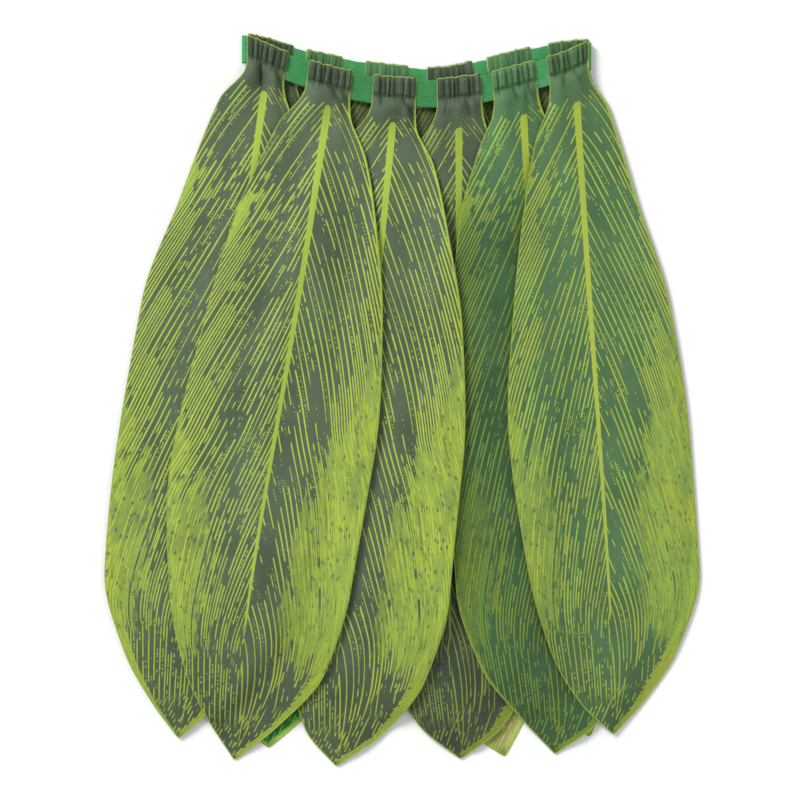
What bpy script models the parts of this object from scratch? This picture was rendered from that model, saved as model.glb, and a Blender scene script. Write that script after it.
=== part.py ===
"""A ti leaf skirt laid flat: twelve cloth leaves gathered on a ring of elastic tape.

It lies face up on the plane z = 0, with the waist towards +Y and the leaf tips towards -Y.
Each leaf is one cut of cloth. Its top end is folded over the tape and gathered, and its blade
lies on the leaves under it. Tables are in millimetres, and meshes are in metres.
"""

from types import SimpleNamespace

import bpy
import numpy as np

MM = 0.001

# Cloth, tape and the room between layers
WALL = 1.0
SEAM_GAP = 0.3
LAYER_PITCH = 2.6
TAPE_WIDTH = 22.0
TAPE_THICK = 1.0
CASING_DEPTH = 15.0
INNER_FLAP = 17.0
RUFFLE = 1.6
PLEAT_HEIGHT = 1.3
INNER_PLEAT_HEIGHT = 1.0

# Heights of the middle of each wall at the band, from the floor up
STEP = WALL / 2 + SEAM_GAP + TAPE_THICK / 2
BACK_OUTER_Z = WALL / 2
BACK_TAPE_Z = BACK_OUTER_Z + STEP
BACK_INNER_Z = BACK_TAPE_Z + STEP
BETWEEN_BANDS = 0.3
FRONT_INNER_Z = BACK_INNER_Z + INNER_PLEAT_HEIGHT + WALL + BETWEEN_BANDS
FRONT_TAPE_Z = FRONT_INNER_Z + STEP
FRONT_OUTER_Z = FRONT_TAPE_Z + STEP

# How a blade leaves the band and climbs over the leaf under it
SETTLE_START = TAPE_WIDTH + 1.0
SETTLE_LENGTH = {"front": 28.0, "back": 10.0}
RAMP = 26.0
RAMP_MARGIN = 3.0

# Shares of a leaf's length over which its top edge's tilt and width give way to the blade's own
TILT_SHARE = 0.22
FAN_SHARE = {"front": 0.07, "back": 0.035}

# A leaf's bow is a share of its length cubed, times what is left of it: this is its largest value
BOW_POWER = 3
BOW_PEAK = 0.1055

# Top edge of the tape in plan, a row for each section of the band: x, front y, back y
BAND = (
    (-128.4, 293.2, 293.2),
    (-109.6, 284.8, 289.2),
    (-81.6, 273.6, 280.8),
    (-45.6, 263.2, 273.2),
    (-9.6, 257.6, 267.6),
    (26.4, 256.0, 265.2),
    (62.4, 259.6, 271.6),
    (98.4, 268.4, 280.4),
    (130.4, 277.6, 286.0),
    (151.6, 287.6, 287.6),
)
BAND_X, FRONT_Y, BACK_Y = (np.array(column) for column in zip(*BAND))
BAND_REACH = 4.0
BAND_END = 30.0

# The casings lean with the band, by this share of what would be square to it
LEAN = 0.45

# Half widths of each leaf, left and right of its rib, at these shares of its length
SECTIONS = (0.0, 0.04, 0.10, 0.20, 0.35, 0.55, 0.75, 0.87, 0.95, 1.0)
BACK_HALF_WIDTHS = (16.0, 27.0, 38.0, 50.0, 64.0, 74.0, 72.0, 56.0, 30.0, 0.0)


def leaf(name, side, casing, rib_top, tip, bow, left, right, pleats, loft=(0, 0, 0, 0), folds=()):
    """One leaf. casing is (middle x, half width); loft is (crown, crown's place, left lift, right lift)."""
    return SimpleNamespace(
        name=name,
        side=side,
        casing_x=casing[0],
        casing_half=casing[1],
        rib_top=rib_top,
        tip_x=tip[0],
        tip_y=tip[1],
        bow=bow,
        left=left,
        right=right,
        pleats=pleats,
        crown=loft[0],
        crown_at=loft[1],
        lift_left=loft[2],
        lift_right=loft[3],
        folds=folds,
    )


def back_leaf(name, casing, tip, bow, left=BACK_HALF_WIDTHS, right=BACK_HALF_WIDTHS):
    return leaf(name, "back", casing, casing[0], tip, bow, left, right, 7)


# The back leaves from left to right, seen from the front
BACK_LEAVES = (
    back_leaf(
        "leaf_back_1",
        (-105.2, 18.0),
        (-168.0, -257.6),
        -4.0,
        left=(16.0, 22.0, 34.0, 48.0, 64.0, 74.0, 72.0, 56.0, 30.0, 0.0),
        right=(16.0, 24.0, 38.0, 50.0, 64.0, 74.0, 72.0, 56.0, 30.0, 0.0),
    ),
    back_leaf(
        "leaf_back_2",
        (-62.0, 14.0),
        (-107.2, -279.2),
        -4.0,
        left=(16.0, 24.0, 37.0, 50.0, 64.0, 74.0, 72.0, 56.0, 30.0, 0.0),
    ),
    back_leaf("leaf_back_3", (-12.0, 16.8), (-40.0, -268.0), -4.0),
    back_leaf("leaf_back_4", (38.3, 17.8), (30.4, -268.0), 0.0),
    back_leaf(
        "leaf_back_5",
        (85.6, 17.2),
        (82.4, -286.0),
        0.0,
        left=(16.0, 27.0, 38.0, 50.0, 64.0, 74.0, 76.0, 66.0, 40.0, 0.0),
        right=(16.0, 27.0, 38.0, 50.0, 62.0, 66.0, 54.0, 32.0, 14.4, 0.0),
    ),
    back_leaf(
        "leaf_back_6",
        (133.6, 16.0),
        (150.4, -270.4),
        2.0,
        right=(16.0, 20.0, 30.0, 42.0, 58.0, 66.0, 60.0, 38.0, 14.0, 0.0),
    ),
)

# The front leaves from left to right. A fold is (place across, width, height, length)
FRONT_LEAVES = (
    leaf(
        "leaf_front_1",
        "front",
        casing=(-107.2, 16.0),
        rib_top=-107.2,
        tip=(-179.2, -271.2),
        bow=-4.8,
        left=(16.0, 27.2, 39.2, 55.6, 74.4, 76.8, 72.0, 48.8, 21.6, 0.0),
        right=(16.0, 18.8, 30.4, 46.4, 62.4, 73.6, 70.4, 54.0, 28.0, 0.0),
        pleats=7,
        loft=(2.5, -0.1, 0.4, 0.0),
        folds=((-0.45, 0.30, 3.2, 62.0), (0.42, 0.26, 3.4, 55.0)),
    ),
    leaf(
        "leaf_front_2",
        "front",
        casing=(-56.8, 16.8),
        rib_top=-56.8,
        tip=(-134.4, -288.8),
        bow=-6.4,
        left=(17.6, 28.8, 42.4, 61.6, 72.4, 80.0, 64.0, 42.8, 18.8, 0.0),
        right=(16.8, 20.0, 35.6, 51.6, 70.0, 81.6, 80.0, 67.6, 33.2, 0.0),
        pleats=7,
        loft=(3.0, 0.0, 0.6, 1.8),
        folds=((-0.35, 0.42, 3.4, 60.0), (0.50, 0.20, 2.6, 66.0)),
    ),
    leaf(
        "leaf_front_3",
        "front",
        casing=(-5.6, 16.8),
        rib_top=-5.6,
        tip=(-52.8, -293.6),
        bow=-5.6,
        left=(16.8, 27.6, 43.2, 56.0, 65.6, 70.4, 59.2, 38.4, 23.2, 0.0),
        right=(16.8, 18.8, 35.6, 51.6, 71.6, 83.6, 84.0, 69.6, 38.4, 0.0),
        pleats=7,
        loft=(2.6, 0.1, 0.4, 1.8),
        folds=((-0.10, 0.46, 3.0, 64.0), (0.62, 0.20, 2.8, 58.0)),
    ),
    leaf(
        "leaf_front_4",
        "front",
        casing=(45.4, 17.0),
        rib_top=45.6,
        tip=(47.2, -288.0),
        bow=-8.8,
        left=(16.8, 26.4, 40.0, 54.4, 67.2, 73.6, 64.0, 49.6, 29.2, 0.0),
        right=(16.8, 21.2, 33.6, 49.6, 65.6, 72.0, 68.8, 62.4, 37.2, 0.0),
        pleats=7,
        loft=(0.6, 0.0, 0.0, 0.0),
        folds=((-0.50, 0.24, 2.6, 48.0), (0.05, 0.30, 2.8, 52.0), (0.60, 0.22, 2.2, 46.0)),
    ),
    leaf(
        "leaf_front_5",
        "front",
        casing=(89.0, 17.0),
        rib_top=96.0,
        tip=(122.9, -284.0),
        bow=-2.4,
        left=(24.0, 27.2, 39.2, 54.8, 64.8, 71.6, 70.4, 53.6, 23.0, 0.0),
        right=(10.0, 14.4, 27.2, 41.6, 57.6, 67.2, 66.0, 54.0, 36.8, 0.0),
        pleats=7,
        loft=(3.4, -0.4, 0.6, 0.0),
        folds=((-0.55, 0.28, 2.6, 60.0), (0.00, 0.26, 2.8, 54.0), (0.62, 0.22, 2.4, 50.0)),
    ),
    leaf(
        "leaf_front_6",
        "front",
        casing=(132.4, 16.4),
        rib_top=138.4,
        tip=(169.6, -268.0),
        bow=2.8,
        left=(22.4, 23.2, 34.4, 46.4, 60.4, 72.2, 64.0, 49.4, 27.2, 0.0),
        right=(10.4, 20.0, 29.6, 44.0, 64.0, 72.8, 73.6, 53.6, 25.2, 0.0),
        pleats=7,
        loft=(3.0, 0.1, 2.6, 0.4),
        folds=((-0.55, 0.30, 2.4, 56.0), (0.15, 0.30, 3.0, 52.0)),
    ),
)

# Leaves in the order in which they lie, from the floor up
STACK = [BACK_LEAVES[i] for i in (1, 4, 2, 5, 0, 3)] + [FRONT_LEAVES[i] for i in (0, 3, 4, 2, 1, 5)]

# Rows of the blades, as shares of their length from the casing's seam to the tip
FRONT_ROWS = (0.03, 0.055, 0.09, 0.14, 0.21, 0.30, 0.40, 0.50, 0.60, 0.70, 0.79, 0.87, 0.93, 0.97)
BACK_ROWS = (0.015, 0.028, 0.045, 0.08, 0.15, 0.24, 0.35, 0.47, 0.60, 0.72, 0.81, 0.88, 0.93, 0.97)
FRONT_COLUMNS = 11
BACK_COLUMNS = 9

# Each pleat is a narrow groove and a flat ridge: places in its width, and heights
PLEAT_PLACES = (0.0, 0.26, 0.74)
PLEAT_SHAPE = (0.0, 1.0, 1.0)

# Rings of the cloth folded over the tape: depth below the tape's top edge, place from the
# tape's inner side (0) to its outer side (1), and share of the pleat's height
CASING_RINGS = (
    (INNER_FLAP, 0.0, 0.7),
    (9.0, 0.0, 1.0),
    (3.0, 0.0, 0.45),
    (-0.2, 0.0, 0.3),
    (-RUFFLE, 0.24, 0.0),
    (-RUFFLE, 0.76, 0.0),
    (-0.2, 1.0, 0.3),
    (3.0, 1.0, 0.45),
    (9.0, 1.0, 1.0),
    (CASING_DEPTH, 1.0, 0.7),
)

# The side of the tape that faces the camera is pleated. The other is plain and has fewer rings
PLEATED_PLACE = {"front": 1.0, "back": 0.0}
SPARE_DEPTHS = (3.0, 9.0)

# Below the seam the front's pleats run on to here, this share of their height
FAN_ROW = 0.012
FAN_PLEAT = 0.45

# The tape's ring in plan and round its ends
TAPE_RUN_POINTS = 27
TAPE_TURN_POINTS = 5
TAPE_END = 14.0

# Colours as (red, green, blue)
GREY_GREEN = (0.16, 0.24, 0.12)
LEAF_GREEN = (0.12, 0.32, 0.14)
TAPE_GREEN = (0.05, 0.42, 0.16)


def smooth(x):
    x = np.clip(x, 0.0, 1.0)
    return x * x * (3.0 - 2.0 * x)


def curve(x, knots, values):
    """A smooth curve through a table's rows that never overshoots them."""
    knots, values = np.asarray(knots, float), np.asarray(values, float)
    step = np.diff(knots)
    rise = np.diff(values) / step
    product = rise[:-1] * rise[1:]
    total = rise[:-1] + rise[1:]
    total[total == 0] = 1.0
    inner = np.where(product > 0, 2.0 * product / total, 0.0)
    slope = np.concatenate(([rise[0]], inner, [rise[-1]]))
    i = np.clip(np.searchsorted(knots, x, side="right") - 1, 0, len(step) - 1)
    s = np.clip((x - knots[i]) / step[i], 0.0, 1.0)
    return (
        values[i] * (1 + 2 * s) * (1 - s) ** 2
        + slope[i] * step[i] * s * (1 - s) ** 2
        + values[i + 1] * s * s * (3 - 2 * s)
        + slope[i + 1] * step[i] * s * s * (s - 1)
    )


def band_top(side, x):
    return curve(x, BAND_X, FRONT_Y if side == "front" else BACK_Y)


def band_slope(side, x):
    """Slope of the band in plan, which dies out at its ends."""
    rise = band_top(side, x + BAND_REACH) - band_top(side, x - BAND_REACH)
    ends = smooth((x - BAND_X[0]) / BAND_END) * smooth((BAND_X[-1] - x) / BAND_END)
    return rise / (2 * BAND_REACH) * ends


def band_point(side, x, depth):
    """Plan position at x along the band, depth below the tape's top edge."""
    slope = band_slope(side, x)
    length = np.sqrt(1.0 + slope * slope)
    return x + LEAN * depth * slope / length, band_top(side, x) - depth / length


def band_depth(side, x, y):
    """How far a plan point lies below the tape's top edge."""
    return (band_top(side, x) - y) / np.sqrt(1.0 + band_slope(side, x) ** 2)


def seam_y(one):
    _, y = band_point(one.side, np.array(one.casing_x), CASING_DEPTH)
    return float(y)


def section(one, share):
    """Rib, left half width and right half width at a share of a leaf's length."""
    bow = one.bow * share**BOW_POWER * (1.0 - share) / BOW_PEAK
    rib = one.rib_top + (one.tip_x - one.rib_top) * share + bow
    return rib, curve(share, SECTIONS, one.left), curve(share, SECTIONS, one.right)


def tilt(one, x, share):
    """How far a leaf's rows lean with the band, at the top of the leaf."""
    slope = float(band_slope(one.side, np.array(one.casing_x)))
    return slope * (x - one.casing_x) * (1.0 - smooth(share / TILT_SHARE))


def locate(one, x, y):
    """Where a plan point lies on a leaf: share of length, place across, and distance outside."""
    top = seam_y(one)
    length = top - one.tip_y
    share = (top - y) / length
    for _ in range(2):
        share = (top + tilt(one, x, share) - y) / length
    inside = np.clip(share, 0.0, 1.0)
    rib, left, right = section(one, inside)
    aside = x - rib
    width = np.where(aside < 0, left, right)
    across = np.clip(aside / np.maximum(width, 1.0), -1.0, 1.0)
    beyond = np.maximum(np.abs(aside) - width, 0.0)
    below = np.maximum(share - 1.0, 0.0) * length
    return inside, across, np.hypot(beyond, below)


def loft(one, share, across):
    """A leaf's own crown and lifted edges, which die out at the band and at the tip."""
    crown = one.crown * np.clip(1.0 - (across - one.crown_at) ** 2, 0.0, 1.0)
    left = one.lift_left * np.clip(-across, 0.0, 1.0) ** 2
    right = one.lift_right * np.clip(across, 0.0, 1.0) ** 2
    return (crown + left + right) * smooth(share / 0.25) * (1.0 - 0.85 * smooth((share - 0.8) / 0.2))


def fold_height(one, across, depth):
    """The large folds that run down from the gathers."""
    total = 0.0
    below = depth - CASING_DEPTH
    for place, width, height, length in one.folds:
        ridge = np.exp(-(((across - place) / width) ** 2))
        total = total + height * ridge * smooth(below / 9.0) * (1.0 - smooth(below / length))
    return total * np.clip((1.0 - np.abs(across)) / 0.2, 0.0, 1.0)


def blade_z(one, x, y):
    """Height of the middle of a leaf's wall: every leaf under it adds its own layer."""
    depth = band_depth(one.side, x, y)
    lay = np.full_like(x, WALL / 2)
    folds = np.zeros_like(x)
    for lower in STACK:
        share, across, outside = locate(lower, x, y)
        cover = 1.0 - smooth((outside - RAMP_MARGIN) / RAMP)
        if lower.side == one.side == "front":
            folds += fold_height(lower, across, band_depth("front", x, y)) * cover
        if lower is one:
            lay += loft(one, share, across)
            break
        lay += cover * (LAYER_PITCH + loft(lower, share, across))
    start = BACK_OUTER_Z if one.side == "back" else FRONT_OUTER_Z
    settled = smooth((depth - SETTLE_START) / SETTLE_LENGTH[one.side])
    return start + (lay - start) * settled + folds


def pleats(one):
    """Places across a casing, and the height of the pleats there as a share."""
    places = [(p + place) / one.pleats for p in range(one.pleats) for place in PLEAT_PLACES] + [1.0]
    ridge = np.array(list(PLEAT_SHAPE) * one.pleats + [PLEAT_SHAPE[0]])
    return 2.0 * np.array(places) - 1.0, ridge


def blade_row(one, share, across):
    """One row of a blade, which grows from the casing's width and place to the leaf's own."""
    top = seam_y(one)
    rib, left, right = section(one, share)
    x = rib + across * np.where(across < 0, left, right)
    run = share * (top - one.tip_y)
    y = top + tilt(one, x, share) - run
    along = one.casing_x + across * one.casing_half
    band_x, band_y = band_point(one.side, along, CASING_DEPTH + run)
    fanned = smooth(share / FAN_SHARE[one.side])
    x = band_x + (x - band_x) * fanned
    y = band_y + (y - band_y) * fanned
    return np.column_stack((x, y, blade_z(one, x, y)))


def casing_rows(one):
    """Rows from the end of the inner flap, over the tape's top edge, to the seam."""
    across, ridge = pleats(one)
    x = one.casing_x + across * one.casing_half
    if one.side == "front":
        inner, outer, height = FRONT_INNER_Z, FRONT_OUTER_Z, PLEAT_HEIGHT
    else:
        inner, outer, height = BACK_INNER_Z, BACK_OUTER_Z, INNER_PLEAT_HEIGHT
    rows = []
    for depth, place, pleat in CASING_RINGS:
        pleated = place == PLEATED_PLACE[one.side]
        plain = place == 1.0 - PLEATED_PLACE[one.side]
        if plain and depth in SPARE_DEPTHS:
            continue
        z = inner + (outer - inner) * place + pleated * pleat * height * ridge
        row_x, row_y = band_point(one.side, x, np.full_like(x, depth))
        rows.append((across, np.column_stack((row_x, row_y, z))))
    return rows


def stitch_rows(upper, lower, first, second):
    """Faces between two rows of vertices, quads where they match and triangles where they don't."""
    if len(upper) == len(lower):
        return [
            (first + i, first + i + 1, second + i + 1, second + i)
            for i in range(len(upper) - 1)
        ]
    faces = []
    i = j = 0
    while i < len(upper) - 1 or j < len(lower) - 1:
        next_upper = upper[i + 1] if i < len(upper) - 1 else np.inf
        next_lower = lower[j + 1] if j < len(lower) - 1 else np.inf
        if next_upper <= next_lower:
            faces.append((first + i, first + i + 1, second + j))
            i += 1
        else:
            faces.append((first + i, second + j + 1, second + j))
            j += 1
    return faces


def leaf_surface(one):
    """A loft from the inner flap to the tip, through rings and rows of unlike sections."""
    rows = casing_rows(one)
    if one.side == "front":
        shares, columns = FRONT_ROWS, FRONT_COLUMNS
        places, ridge = pleats(one)
        fan = blade_row(one, FAN_ROW, places)
        fan[:, 2] += FAN_PLEAT * PLEAT_HEIGHT * ridge
        rows.append((places, fan))
    else:
        shares, columns = BACK_ROWS, BACK_COLUMNS
    across = np.linspace(-1.0, 1.0, columns + 1)
    rows += [(across, blade_row(one, share, across)) for share in shares]
    tip = np.array([[one.tip_x, one.tip_y, 0.0]])
    tip[:, 2] = blade_z(one, tip[:, 0], tip[:, 1])
    rows.append((np.array([0.0]), tip))
    points, faces, start = [], [], 0
    for (places, placed), following in zip(rows, rows[1:] + [None]):
        points.extend(placed.tolist())
        if following is not None:
            faces += stitch_rows(places, following[0], start, start + len(places))
        start += len(places)
    return points, faces


def tape_surface():
    """The ring of tape, flattened: back run, right turn, front run, left turn."""
    radius = (FRONT_TAPE_Z - BACK_TAPE_Z) / 2
    middle_z = (FRONT_TAPE_Z + BACK_TAPE_Z) / 2
    left = BAND_X[0] + radius + TAPE_THICK / 2
    right = BAND_X[-1] - radius - TAPE_THICK / 2
    run = np.linspace(left, right, TAPE_RUN_POINTS)
    turn = np.linspace(-np.pi / 2, np.pi / 2, TAPE_TURN_POINTS + 2)[1:-1]
    path = [("back", x, BACK_TAPE_Z, 0.0) for x in run]
    path += [("front", right, middle_z + radius * np.sin(a), radius * np.cos(a)) for a in turn]
    path += [("front", x, FRONT_TAPE_Z, 0.0) for x in run[::-1]]
    path += [("front", left, middle_z - radius * np.sin(a), -radius * np.cos(a)) for a in turn]
    depths = (0.0, TAPE_WIDTH / 2, TAPE_WIDTH)
    points = []
    for side, x, z, out in path:
        for depth in depths:
            plan_x, plan_y = band_point(side, np.array(x), depth)
            ends = smooth((x - left) / TAPE_END) * smooth((right - x) / TAPE_END)
            common = band_point("front", np.array(x), depth)[1]
            points.append((float(plan_x) + out, float(common + (plan_y - common) * ends), z))
    width, count = len(depths), len(path)
    faces = []
    for i in range(count):
        here, after = i * width, (i + 1) % count * width
        for j in range(width - 1):
            faces.append((here + j, after + j, after + j + 1, here + j + 1))
    return points, faces


def material(name, colour, roughness):
    made = bpy.data.materials.new(name)
    made.use_nodes = True
    shader = made.node_tree.nodes["Principled BSDF"]
    shader.inputs["Base Color"].default_value = (*colour, 1.0)
    shader.inputs["Roughness"].default_value = roughness
    shader.inputs["Metallic"].default_value = 0.0
    made.diffuse_color = (*colour, 1.0)
    return made


def cloth_object(name, surface, thick, look, collection):
    """An object whose open surface is given a wall, half on each side."""
    points, faces = surface
    mesh = bpy.data.meshes.new(name)
    mesh.from_pydata([tuple(v * MM for v in p) for p in points], [], faces)
    mesh.validate()
    mesh.materials.append(look)
    made = bpy.data.objects.new(name, mesh)
    collection.objects.link(made)
    wall = made.modifiers.new("wall", "SOLIDIFY")
    wall.thickness = thick * MM
    wall.offset = 0.0
    return made


def main():
    for existing in list(bpy.data.objects):
        bpy.data.objects.remove(existing)
    skirt = bpy.data.collections.new("ti_leaf_skirt")
    bpy.context.scene.collection.children.link(skirt)
    grey_green = material("grey_green_leaf_cloth", GREY_GREEN, 0.75)
    leaf_green = material("green_leaf_cloth", LEAF_GREEN, 0.75)
    tape_green = material("green_elastic", TAPE_GREEN, 0.6)
    cloth_object("waist_elastic", tape_surface(), TAPE_THICK, tape_green, skirt)
    for one in BACK_LEAVES + FRONT_LEAVES:
        look = leaf_green if one.name.endswith(("_5", "_6")) else grey_green
        cloth_object(one.name, leaf_surface(one), WALL, look, skirt)


main()
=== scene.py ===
import bpy
import numpy as np
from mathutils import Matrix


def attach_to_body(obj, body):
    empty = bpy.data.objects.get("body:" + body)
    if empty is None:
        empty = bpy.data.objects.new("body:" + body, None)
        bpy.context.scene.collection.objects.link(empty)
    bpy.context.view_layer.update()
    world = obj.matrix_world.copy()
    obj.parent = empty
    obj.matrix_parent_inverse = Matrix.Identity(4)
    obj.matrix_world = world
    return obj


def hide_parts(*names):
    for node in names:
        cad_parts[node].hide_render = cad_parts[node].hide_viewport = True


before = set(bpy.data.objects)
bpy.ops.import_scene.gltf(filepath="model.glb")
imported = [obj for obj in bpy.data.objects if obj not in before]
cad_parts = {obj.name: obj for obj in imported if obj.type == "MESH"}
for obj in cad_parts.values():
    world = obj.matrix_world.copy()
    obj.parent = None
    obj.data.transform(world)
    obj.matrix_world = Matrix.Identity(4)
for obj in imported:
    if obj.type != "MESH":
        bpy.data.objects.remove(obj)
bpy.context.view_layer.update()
mm = 0.001
print("frame loaded:", len(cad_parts), "nodes")


# small helpers

def smooth(x):
    # eases from 0 to 1: three times x squared, less two times x cubed
    x = np.clip(x, 0.0, 1.0)
    return x * x * (3.0 - 2.0 * x)


def curve(x, knots, values):
    # a cubic through the table's rows, whose slope at each row is the harmonic mean of its two sides
    knots, values = np.asarray(knots, float), np.asarray(values, float)
    step = np.diff(knots)
    rise = np.diff(values) / step
    product, total = rise[:-1] * rise[1:], rise[:-1] + rise[1:]
    total[total == 0] = 1.0
    inner = np.where(product > 0, 2.0 * product / total, 0.0)
    slope = np.concatenate(([rise[0]], inner, [rise[-1]]))
    i = np.clip(np.searchsorted(knots, x, side="right") - 1, 0, len(step) - 1)
    s = np.clip((x - knots[i]) / step[i], 0.0, 1.0)
    return (
        values[i] * (1 + 2 * s) * (1 - s) ** 2
        + slope[i] * step[i] * s * (1 - s) ** 2
        + values[i + 1] * s * s * (3 - 2 * s)
        + slope[i + 1] * step[i] * s * s * (s - 1)
    )


def meshFromGrid(name, points, material, fields=None, closedAcross=False, closedAlong=False):
    # points is a grid of rows and columns in mm: each square of the grid is one face
    rows, columns = points.shape[:2]
    index = np.arange(rows * columns).reshape(rows, columns)
    if closedAcross:
        index = np.concatenate((index, index[:, :1]), axis=1)
    if closedAlong:
        index = np.concatenate((index, index[:1]), axis=0)
    faces = np.stack((index[:-1, :-1], index[1:, :-1], index[1:, 1:], index[:-1, 1:]), axis=-1)
    return meshFromArrays(name, points.reshape(-1, 3), faces.reshape(-1, 4), material, fields)


def meshFromArrays(name, points, faces, material, fields=None):
    mesh = bpy.data.meshes.new(name)
    mesh.vertices.add(len(points))
    mesh.vertices.foreach_set("co", (points * mm).astype(np.float32).ravel())
    mesh.loops.add(faces.size)
    mesh.loops.foreach_set("vertex_index", faces.astype(np.int32).ravel())
    mesh.polygons.add(len(faces))
    mesh.polygons.foreach_set("loop_start", np.arange(0, faces.size, faces.shape[1], dtype=np.int32))
    mesh.polygons.foreach_set("use_smooth", np.ones(len(faces), dtype=bool))
    for fieldName, values in (fields or {}).items():
        attribute = mesh.attributes.new(fieldName, "FLOAT_VECTOR", "POINT")
        attribute.data.foreach_set("vector", values.reshape(-1, 3).astype(np.float32).ravel())
    mesh.update(calc_edges=True)
    mesh.materials.append(material)
    made = bpy.data.objects.new(name, mesh)
    bpy.context.scene.collection.objects.link(made)
    return made


def addWall(piece, thick):
    # the surface's two sides, thick mm apart
    wall = piece.modifiers.new("wall", "SOLIDIFY")
    wall.thickness = thick * mm
    wall.offset = 0.0
    return wall


def attach(piece):
    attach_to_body(piece, "root")


def distanceAlong(points):
    # how far along a line each of its points lies
    return np.concatenate(([0.0], np.cumsum(np.linalg.norm(np.diff(points, axis=0), axis=1))))


def pointsAt(points, distance, at):
    return np.stack([np.interp(at, distance, points[:, i]) for i in range(3)], axis=-1)


def tubeAlong(path, radius, sides):
    # a ring of sides points round each point of a path, square to the path's own direction
    run = np.gradient(path, axis=0)
    run /= np.linalg.norm(run, axis=1, keepdims=True) + 1e-9
    up = np.tile((0.0, 0.0, 1.0), (len(path), 1))
    across = np.cross(run, up)
    across /= np.linalg.norm(across, axis=1, keepdims=True) + 1e-9
    normal = np.cross(across, run)
    angle = np.linspace(0.0, 2.0 * np.pi, sides, endpoint=False)
    size = np.broadcast_to(np.asarray(radius, float), (len(path),))[:, None, None]
    ring = across[:, None] * np.cos(angle)[None, :, None] + normal[:, None] * np.sin(angle)[None, :, None]
    return path[:, None] + ring * size


# the floor, the camera and the lights

studio = {
    "floorSize": 6.0,
    "floorColour": (0.90, 0.90, 0.90),
    "cameraHeight": 2.408,
    "cameraLens": 135.0,
    "cameraX": -0.0016,
    "skyStrength": 0.50,
    "keyPower": 275.0,
    "keyPlace": (-2.9, 3.1, 2.9),
    "keySize": 1.9,
    "fillPower": 16.0,
    "fillPlace": (1.8, -1.0, 2.2),
    "fillSize": 2.0,
}


def makeStudio():
    scene = bpy.context.scene
    bpy.ops.mesh.primitive_plane_add(size=studio["floorSize"])
    floor = bpy.context.object
    floor.name = "studio_floor"
    paint = bpy.data.materials.new("paleFloor")
    paint.use_nodes = True
    shader = paint.node_tree.nodes["Principled BSDF"]
    shader.inputs["Base Color"].default_value = (*studio["floorColour"], 1.0)
    shader.inputs["Roughness"].default_value = 0.9
    shader.inputs["Specular IOR Level"].default_value = 0.1
    floor.data.materials.append(paint)

    lens = bpy.data.cameras.new("photoCamera")
    lens.lens = studio["cameraLens"]
    lens.sensor_width = 36.0
    lens.clip_end = 20.0
    camera = bpy.data.objects.new("photoCamera", lens)
    camera.location = (studio["cameraX"], 0.0, studio["cameraHeight"])
    scene.collection.objects.link(camera)
    scene.camera = camera

    for lampName, key in (("keyLight", "key"), ("fillLight", "fill")):
        lamp = bpy.data.lights.new(lampName, "AREA")
        lamp.energy = studio[key + "Power"]
        lamp.size = studio[key + "Size"]
        made = bpy.data.objects.new(lampName, lamp)
        made.location = studio[key + "Place"]
        away = -np.array(studio[key + "Place"])
        made.rotation_euler = (
            np.arctan2(np.hypot(away[0], away[1]), -away[2]),
            0.0,
            np.arctan2(away[1], away[0]) - np.pi / 2,
        )
        scene.collection.objects.link(made)

    world = bpy.data.worlds.new("softSky")
    world.use_nodes = True
    world.node_tree.nodes["Background"].inputs["Color"].default_value = (1.0, 1.0, 1.0, 1.0)
    world.node_tree.nodes["Background"].inputs["Strength"].default_value = studio["skyStrength"]
    scene.world = world
    scene.view_settings.view_transform = "Standard"


makeStudio()
print("studio ready")


# materials

def linear(red, green, blue):
    # a colour given on a 0 to 255 screen scale, as linear light
    screen = np.array((red, green, blue)) / 255.0
    return tuple(np.where(screen <= 0.04045, screen / 12.92, ((screen + 0.055) / 1.055) ** 2.4))


class Value:
    # a socket that can stand in a formula, where each sign adds one math node to its tree

    def __init__(self, nodes, socket):
        self.nodes = nodes
        self.socket = socket

    def __add__(self, other):
        return self.nodes.calc("ADD", self, other)

    def __sub__(self, other):
        return self.nodes.calc("SUBTRACT", self, other)

    def __rsub__(self, other):
        return self.nodes.calc("SUBTRACT", other, self)

    def __mul__(self, other):
        return self.nodes.calc("MULTIPLY", self, other)

    def __truediv__(self, other):
        return self.nodes.calc("DIVIDE", self, other)

    def __abs__(self):
        return self.nodes.calc("ABSOLUTE", self)


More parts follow.
